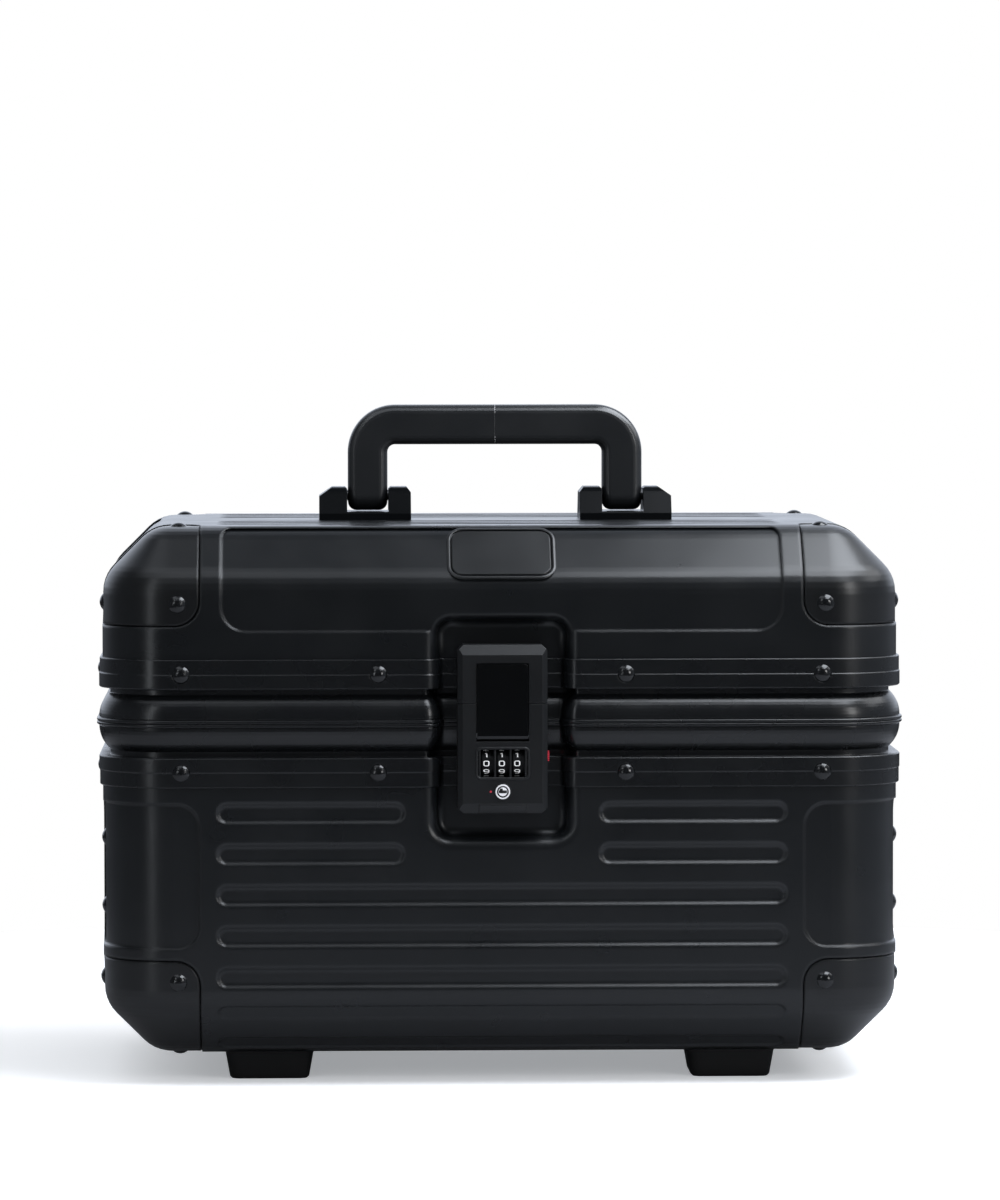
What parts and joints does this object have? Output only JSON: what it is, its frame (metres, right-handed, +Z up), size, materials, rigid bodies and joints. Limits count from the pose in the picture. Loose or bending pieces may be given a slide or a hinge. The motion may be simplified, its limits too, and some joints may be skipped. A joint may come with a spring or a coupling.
{
  "type": "makeup train case",
  "caption": "Hard black makeup train case with a hinged lid, combination lock, folding top handle, riveted frames and corner caps, and rubber feet.",
  "frame": {"origin": "centre of the case's footprint at floor level, under the feet", "axes": "+X to the right seen from the lock side, +Y to the hinges at the back, +Z up"},
  "size_m": [0.3662, 0.2377, 0.3052],
  "materials": {
    "shell_black": "satin",
    "frame_black": "satin anodised",
    "black_metal": "satin",
    "rivet_black": "semi-gloss",
    "rubber_black": "matt",
    "steel": "zinc plated",
    "lining_cloth": "woven",
    "mirror_glass": "polished",
    "plastic_black": "fine grain",
    "plate_black": "satin",
    "handle_black": "satin",
    "lock_black": "satin",
    "lever_gloss": "high gloss",
    "chrome": "polished",
    "plastic_red": "gloss"
  },
  "bodies": {
    "case_body": {"body_shell": "shell_black", "body_frame": "frame_black", "closing_seal": "rubber_black", "body_cap_front_left": "black_metal", "body_cap_front_right": "black_metal", "body_cap_rear_left": "black_metal", "body_cap_rear_right": "black_metal", "body_cap_rivets": "rivet_black", "body_frame_rivets": "rivet_black", "foot_front_left": "rubber_black", "foot_front_right": "rubber_black", "foot_rear_left": "rubber_black", "foot_rear_right": "rubber_black", "foot_screws": "steel", "body_lining": "lining_cloth", "hinge_body_leaf_left": "black_metal", "hinge_body_leaf_right": "black_metal", "hinge_pins": "steel", "hinge_body_rivets": "rivet_black", "lock_housing": "lock_black", "lever_pin": "steel", "dial_axle": "steel", "housing_rivets": "steel"},
    "lid": {"lid_shell": "shell_black", "lid_frame": "frame_black", "lid_cap_front_left": "black_metal", "lid_cap_front_right": "black_metal", "lid_cap_rear_left": "black_metal", "lid_cap_rear_right": "black_metal", "lid_cap_rivets": "rivet_black", "lid_frame_rivets": "rivet_black", "lid_lining": "lining_cloth", "lid_mirror": "mirror_glass", "mirror_frame": "plastic_black", "hinge_lid_leaf_left": "black_metal", "hinge_lid_leaf_right": "black_metal", "hinge_lid_rivets": "rivet_black", "lock_catch": "lock_black", "catch_rivets": "steel", "bracket_left": "black_metal", "bracket_right": "black_metal", "handle_pins": "steel", "bracket_screws": "steel", "nameplate": "plate_black"},
    "handle": {"handle_left": "handle_black", "handle_right": "handle_black", "handle_dowel": "steel"},
    "latch_lever": {"latch_lever": "lever_gloss"},
    "dial_left": {"dial_left": "plastic_black"},
    "dial_middle": {"dial_middle": "plastic_black"},
    "dial_right": {"dial_right": "plastic_black"},
    "key_cylinder": {"key_cylinder": "chrome"},
    "release_button": {"release_button": "plastic_red"}
  },
  "joints": [
    {"name": "lid_hinge", "type": "hinge", "parent": "case_body", "child": "lid", "pos_m": [0, 0.1159, 0.164], "axis": [-1, 0, 0], "range_deg": [0, 95]},
    {"name": "handle_fold", "type": "hinge", "parent": "lid", "child": "handle", "pos_m": [0, 0, 0.2632], "axis": [1, 0, 0], "range_deg": [-88, 88]},
    {"name": "latch_swing", "type": "hinge", "parent": "case_body", "child": "latch_lever", "pos_m": [0, -0.1162, 0.159], "axis": [1, 0, 0], "range_deg": [0, 80]},
    {"name": "dial_left_turn", "type": "hinge", "parent": "case_body", "child": "dial_left", "pos_m": [0, -0.112, 0.1465], "axis": [1, 0, 0], "continuous": true},
    {"name": "dial_middle_turn", "type": "hinge", "parent": "case_body", "child": "dial_middle", "pos_m": [0, -0.112, 0.1465], "axis": [1, 0, 0], "continuous": true},
    {"name": "dial_right_turn", "type": "hinge", "parent": "case_body", "child": "dial_right", "pos_m": [0, -0.112, 0.1465], "axis": [1, 0, 0], "continuous": true},
    {"name": "key_turn", "type": "hinge", "parent": "case_body", "child": "key_cylinder", "pos_m": [0, -0.1188, 0.1338], "axis": [0, 1, 0], "range_deg": [0, 90]},
    {"name": "release_press", "type": "slide", "parent": "case_body", "child": "release_button", "axis": [-1, 0, 0], "range_m": [0, 0.0008], "stiffness_N_per_m": 200}
  ]
}
